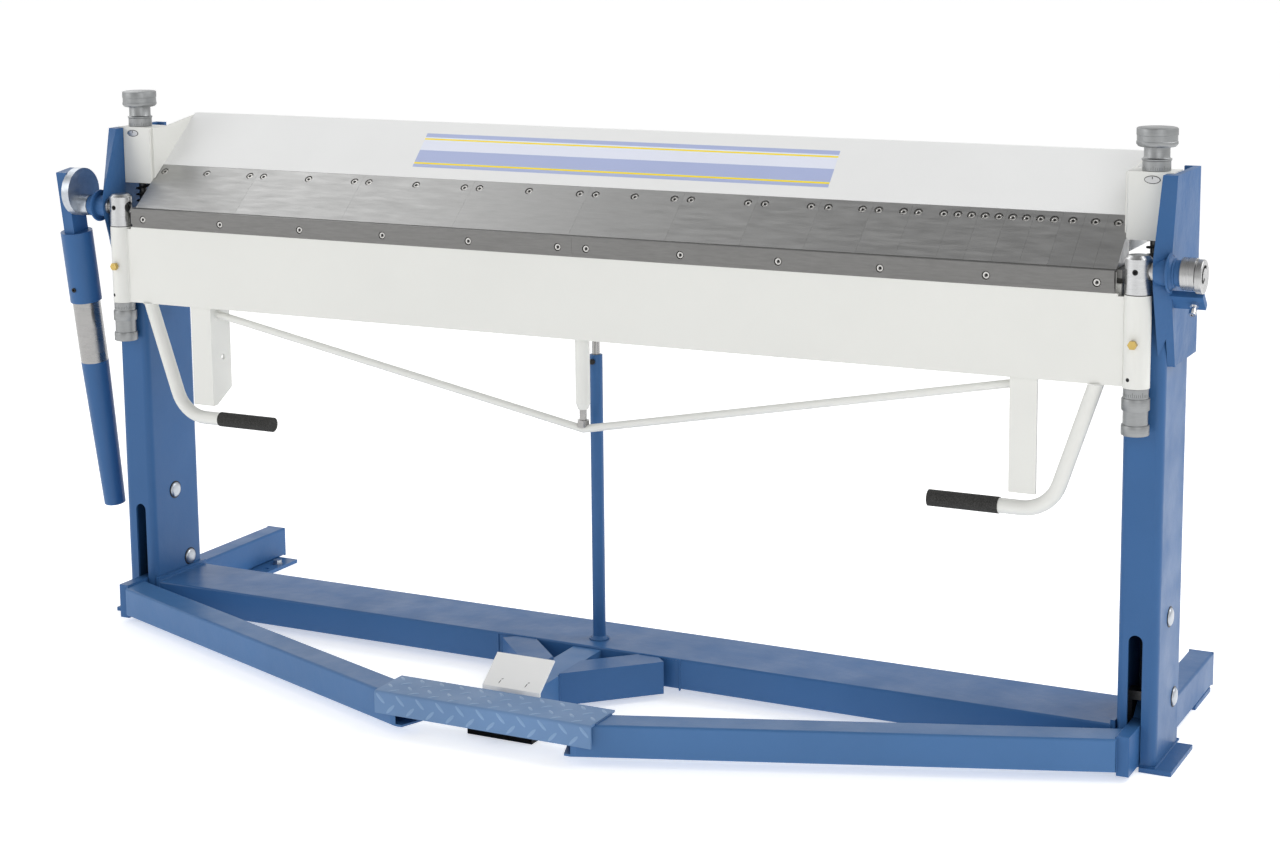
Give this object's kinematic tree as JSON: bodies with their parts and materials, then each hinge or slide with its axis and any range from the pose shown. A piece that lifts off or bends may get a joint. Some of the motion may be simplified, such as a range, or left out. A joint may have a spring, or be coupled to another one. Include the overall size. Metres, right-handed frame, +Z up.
{
  "type": "sheet metal brake",
  "caption": "Manual two metre sheet metal folding machine with segmented upper fingers, hand-swung bending beam and foot pedal clamping.",
  "frame": {"origin": "on the floor under the centre of the machine's overall box", "axes": "+X along the folding line to the operator's right, -Y towards the operator, +Z up"},
  "size_m": [2.406, 0.892, 1.1133],
  "materials": {
    "blue_paint": "satin enamel",
    "white_paint": "satin enamel",
    "tool_steel": "ground",
    "blade_steel": "dark ground",
    "bright_steel": "turned",
    "zinc": "zinc plated",
    "black_oxide": "black oxide",
    "aluminium": "turned",
    "chrome": "polished",
    "brass": "machined",
    "foam": "closed-cell foam"
  },
  "bodies": {
    "stand": {"column_caps": "blue_paint", "column_pins": "zinc", "columns": "blue_paint", "floor_stretcher": "blue_paint", "foot_plates": "blue_paint", "front_bar": "blue_paint", "head_left": "blue_paint", "head_right": "blue_paint", "levelling_bolts": "zinc", "lift_springs": "black_oxide", "lower_beam": "white_paint", "lower_blade": "blade_steel", "prop_clamp_bolt": "black_oxide", "prop_rod": "bright_steel", "prop_tube": "blue_paint", "rear_legs": "blue_paint", "release_bracket": "zinc", "rod_guides": "bright_steel", "stop_screw_and_nut": "chrome"},
    "upper_beam": {"upper_beam": "white_paint", "end_guides": "white_paint", "finger_screws": "zinc", "pull_rods": "bright_steel", "fingers_100_mm": "tool_steel", "fingers_125_mm": "tool_steel", "fingers_150_mm": "tool_steel", "fingers_200_mm": "tool_steel", "fingers_250_mm": "tool_steel", "fingers_255_mm": "tool_steel", "fingers_40_mm": "tool_steel", "fingers_50_mm": "tool_steel", "fingers_75_mm": "tool_steel"},
    "top_knob_left": {"top_knob_left": "aluminium"},
    "top_knob_right": {"top_knob_right": "aluminium"},
    "pedal": {"pedal_arms": "blue_paint", "pedal_levers": "blue_paint", "tread_plate": "blue_paint"},
    "release_plate": {"release_plate": "white_paint"},
    "folding_axis": {"pivot_blocks": "aluminium", "block_set_screws": "black_oxide", "pivot_shafts": "bright_steel", "stop_collar": "bright_steel", "clamp_disc": "zinc"},
    "folding_beam": {"folding_beam": "white_paint", "guide_tubes": "white_paint", "tube_clamp_bolts": "brass", "bending_blades": "blade_steel", "blade_screws": "zinc", "truss_brackets": "white_paint", "truss_rod": "white_paint", "truss_strut": "white_paint", "jack_screw": "bright_steel", "handles": "white_paint", "handle_grips": "foam"},
    "lower_knob_left": {"lower_knob_left": "aluminium"},
    "lower_knob_right": {"lower_knob_right": "aluminium"},
    "counterweight_arm": {"counterweight_arm": "blue_paint", "weight_set_screw": "black_oxide"},
    "counterweight": {"weight_bar": "bright_steel", "weight_taper": "blue_paint"}
  },
  "joints": [
    {"name": "upper_lift", "type": "slide", "parent": "stand", "child": "upper_beam", "axis": [0, 0, 1], "range_m": [0, 0.042], "deforming": ["lift_springs"]},
    {"name": "top_knob_left_turn", "type": "hinge", "parent": "upper_beam", "child": "top_knob_left", "pos_m": [-1.048, 0.017, 1.06], "axis": [0, 0, 1], "range_deg": [-720, 720]},
    {"name": "top_knob_right_turn", "type": "hinge", "parent": "upper_beam", "child": "top_knob_right", "pos_m": [1.098, 0.017, 1.06], "axis": [0, 0, 1], "range_deg": [-720, 720]},
    {"name": "pedal_swing", "type": "hinge", "parent": "stand", "child": "pedal", "pos_m": [0.025, 0.08, 0.101], "axis": [-1, 0, 0], "range_deg": [0, 34.2]},
    {"name": "release_press", "type": "hinge", "parent": "stand", "child": "release_plate", "pos_m": [0.025, -0.304, 0.09], "axis": [-1, 0, 0], "range_deg": [0, 8], "stiffness_Nm_per_rad": 6, "springref_deg": -5.73},
    {"name": "beam_swing", "type": "hinge", "parent": "stand", "child": "folding_axis", "pos_m": [0.025, -0.064, 0.88], "axis": [-1, 0, 0], "range_deg": [0, 135]},
    {"name": "beam_trim", "type": "slide", "parent": "folding_axis", "child": "folding_beam", "axis": [0, 0, 1], "range_m": [-0.008, 0]},
    {"name": "lower_knob_left_turn", "type": "hinge", "parent": "folding_beam", "child": "lower_knob_left", "pos_m": [-1.043, -0.064, 0.64], "axis": [0, 0, 1], "range_deg": [-1441, 1]},
    {"name": "lower_knob_right_turn", "type": "hinge", "parent": "folding_beam", "child": "lower_knob_right", "pos_m": [1.093, -0.064, 0.64], "axis": [0, 0, 1], "range_deg": [-1441, 1]},
    {"name": "counterweight_clamp", "type": "hinge", "parent": "folding_axis", "child": "counterweight_arm", "pos_m": [-1.17, -0.064, 0.88], "axis": [-1, 0, 0], "range_deg": [-90, 0]},
    {"name": "counterweight_slide", "type": "slide", "parent": "counterweight_arm", "child": "counterweight", "axis": [0, -0.1392, 0.9903], "range_m": [0, 0.08]}
  ],
  "couplings": [
    {"joint": "pedal_swing", "follows": "upper_lift", "rad_per_m": 14.11},
    {"joint": "lower_knob_left_turn", "follows": "beam_trim", "rad_per_m": 3141.6},
    {"joint": "lower_knob_right_turn", "follows": "beam_trim", "rad_per_m": 3141.6}
  ]
}
